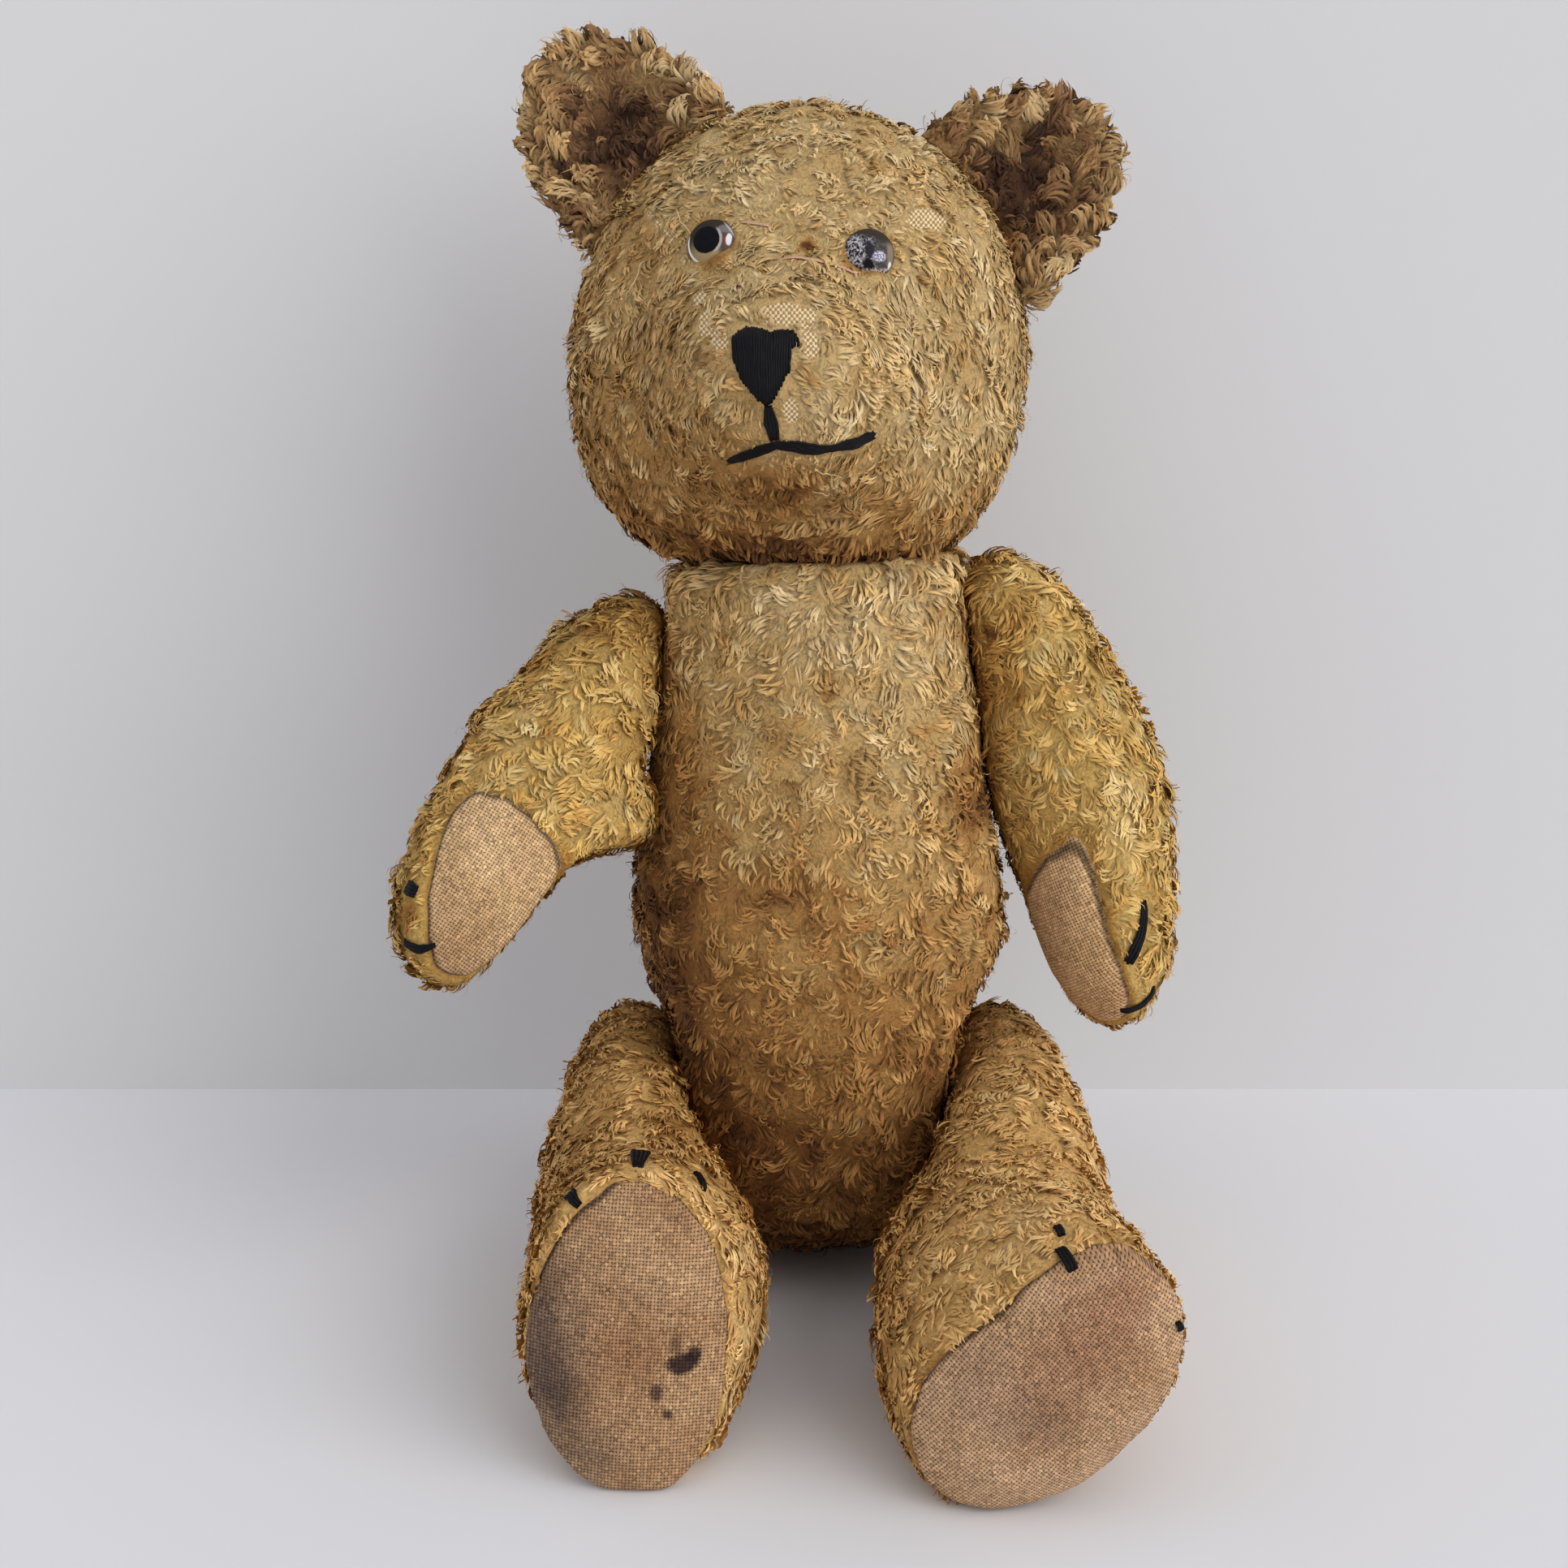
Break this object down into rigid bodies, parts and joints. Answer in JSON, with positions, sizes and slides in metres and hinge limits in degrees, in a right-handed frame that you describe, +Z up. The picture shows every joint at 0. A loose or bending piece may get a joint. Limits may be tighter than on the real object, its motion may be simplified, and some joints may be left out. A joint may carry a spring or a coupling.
{
  "type": "teddy bear",
  "caption": "Seated old jointed teddy bear in worn curly plush, with cupped ears, glass eyes, stitched nose and mouth, and woven paw and foot pads.",
  "frame": {"origin": "middle of the seat, on the surface the bear sits on", "axes": "+Z up; the bear faces -Y and its left side is +X"},
  "size_m": [0.2092, 0.2193, 0.3436],
  "materials": {
    "plush": "straw-gold curly pile, matted and worn thin, with grey-brown soiling and threadbare spots",
    "ear_plush": "longer, less worn reddish-brown curly pile, dark in the hollow of the ear",
    "woven_pad": "coarse pinkish-tan plain weave, frayed at the seam and stained",
    "black_thread": "black embroidery thread, slightly shiny",
    "clear_glass": "clear glass, the left one crazed and silvery",
    "black_glass": "glossy black",
    "wood_wool": "firmly packed wood wool",
    "fibreboard": "brown pressed fibreboard",
    "steel": "dull steel with light rust"
  },
  "bodies": {
    "body": {"body_cover": "plush", "body_stuffing": "wood_wool", "neck_disc": "fibreboard", "neck_washer": "steel", "right_shoulder_disc": "fibreboard", "right_shoulder_washer": "steel", "right_hip_disc": "fibreboard", "right_hip_washer": "steel", "left_shoulder_disc": "fibreboard", "left_shoulder_washer": "steel", "left_hip_disc": "fibreboard", "left_hip_washer": "steel"},
    "head": {"head_cover": "plush", "head_stuffing": "wood_wool", "right_ear": "ear_plush", "left_ear": "ear_plush", "right_eye_glass": "clear_glass", "left_eye_glass": "clear_glass", "right_eye_pupil": "black_glass", "left_eye_pupil": "black_glass", "nose_stitching": "black_thread", "nose_to_mouth_stitch": "black_thread", "mouth_stitch": "black_thread", "neck_head_disc": "fibreboard", "neck_head_washer": "steel", "neck_cotter_pin": "steel"},
    "right_arm": {"right_arm_cover": "plush", "right_arm_stuffing": "wood_wool", "right_paw_pad": "woven_pad", "right_paw_claw_1": "black_thread", "right_paw_claw_2": "black_thread", "right_shoulder_arm_disc": "fibreboard", "right_shoulder_arm_washer": "steel", "right_shoulder_cotter_pin": "steel"},
    "left_arm": {"left_arm_cover": "plush", "left_arm_stuffing": "wood_wool", "left_paw_pad": "woven_pad", "left_paw_claw_1": "black_thread", "left_paw_claw_2": "black_thread", "left_shoulder_arm_disc": "fibreboard", "left_shoulder_arm_washer": "steel", "left_shoulder_cotter_pin": "steel"},
    "right_leg": {"right_leg_cover": "plush", "right_leg_stuffing": "wood_wool", "right_foot_pad": "woven_pad", "right_foot_claw_1": "black_thread", "right_foot_claw_2": "black_thread", "right_foot_claw_3": "black_thread", "right_hip_leg_disc": "fibreboard", "right_hip_leg_washer": "steel", "right_hip_cotter_pin": "steel"},
    "left_leg": {"left_leg_cover": "plush", "left_leg_stuffing": "wood_wool", "left_foot_pad": "woven_pad", "left_foot_claw_1": "black_thread", "left_foot_claw_2": "black_thread", "left_foot_claw_3": "black_thread", "left_hip_leg_disc": "fibreboard", "left_hip_leg_washer": "steel", "left_hip_cotter_pin": "steel"}
  },
  "joints": [
    {"name": "neck_turn", "type": "hinge", "parent": "body", "child": "head", "pos_m": [0, 0.0087, 0.2035], "axis": [-0.0765, 0.1388, 0.9874], "continuous": true},
    {"name": "right_shoulder_swing", "type": "hinge", "parent": "body", "child": "right_arm", "pos_m": [-0.043, 0.0052, 0.172], "axis": [-0.9925, 0, 0.1219], "range_deg": [-110, 70]},
    {"name": "left_shoulder_swing", "type": "hinge", "parent": "body", "child": "left_arm", "pos_m": [0.043, 0.0052, 0.172], "axis": [0.9925, 0, 0.1219], "range_deg": [-90, 85]},
    {"name": "right_hip_swing", "type": "hinge", "parent": "body", "child": "right_leg", "pos_m": [-0.034, -0.0088, 0.04], "axis": [-0.9962, 0, -0.0872], "range_deg": [-105, 10]},
    {"name": "left_hip_swing", "type": "hinge", "parent": "body", "child": "left_leg", "pos_m": [0.034, -0.0088, 0.04], "axis": [0.9962, 0, -0.0872], "range_deg": [-10, 105]}
  ]
}
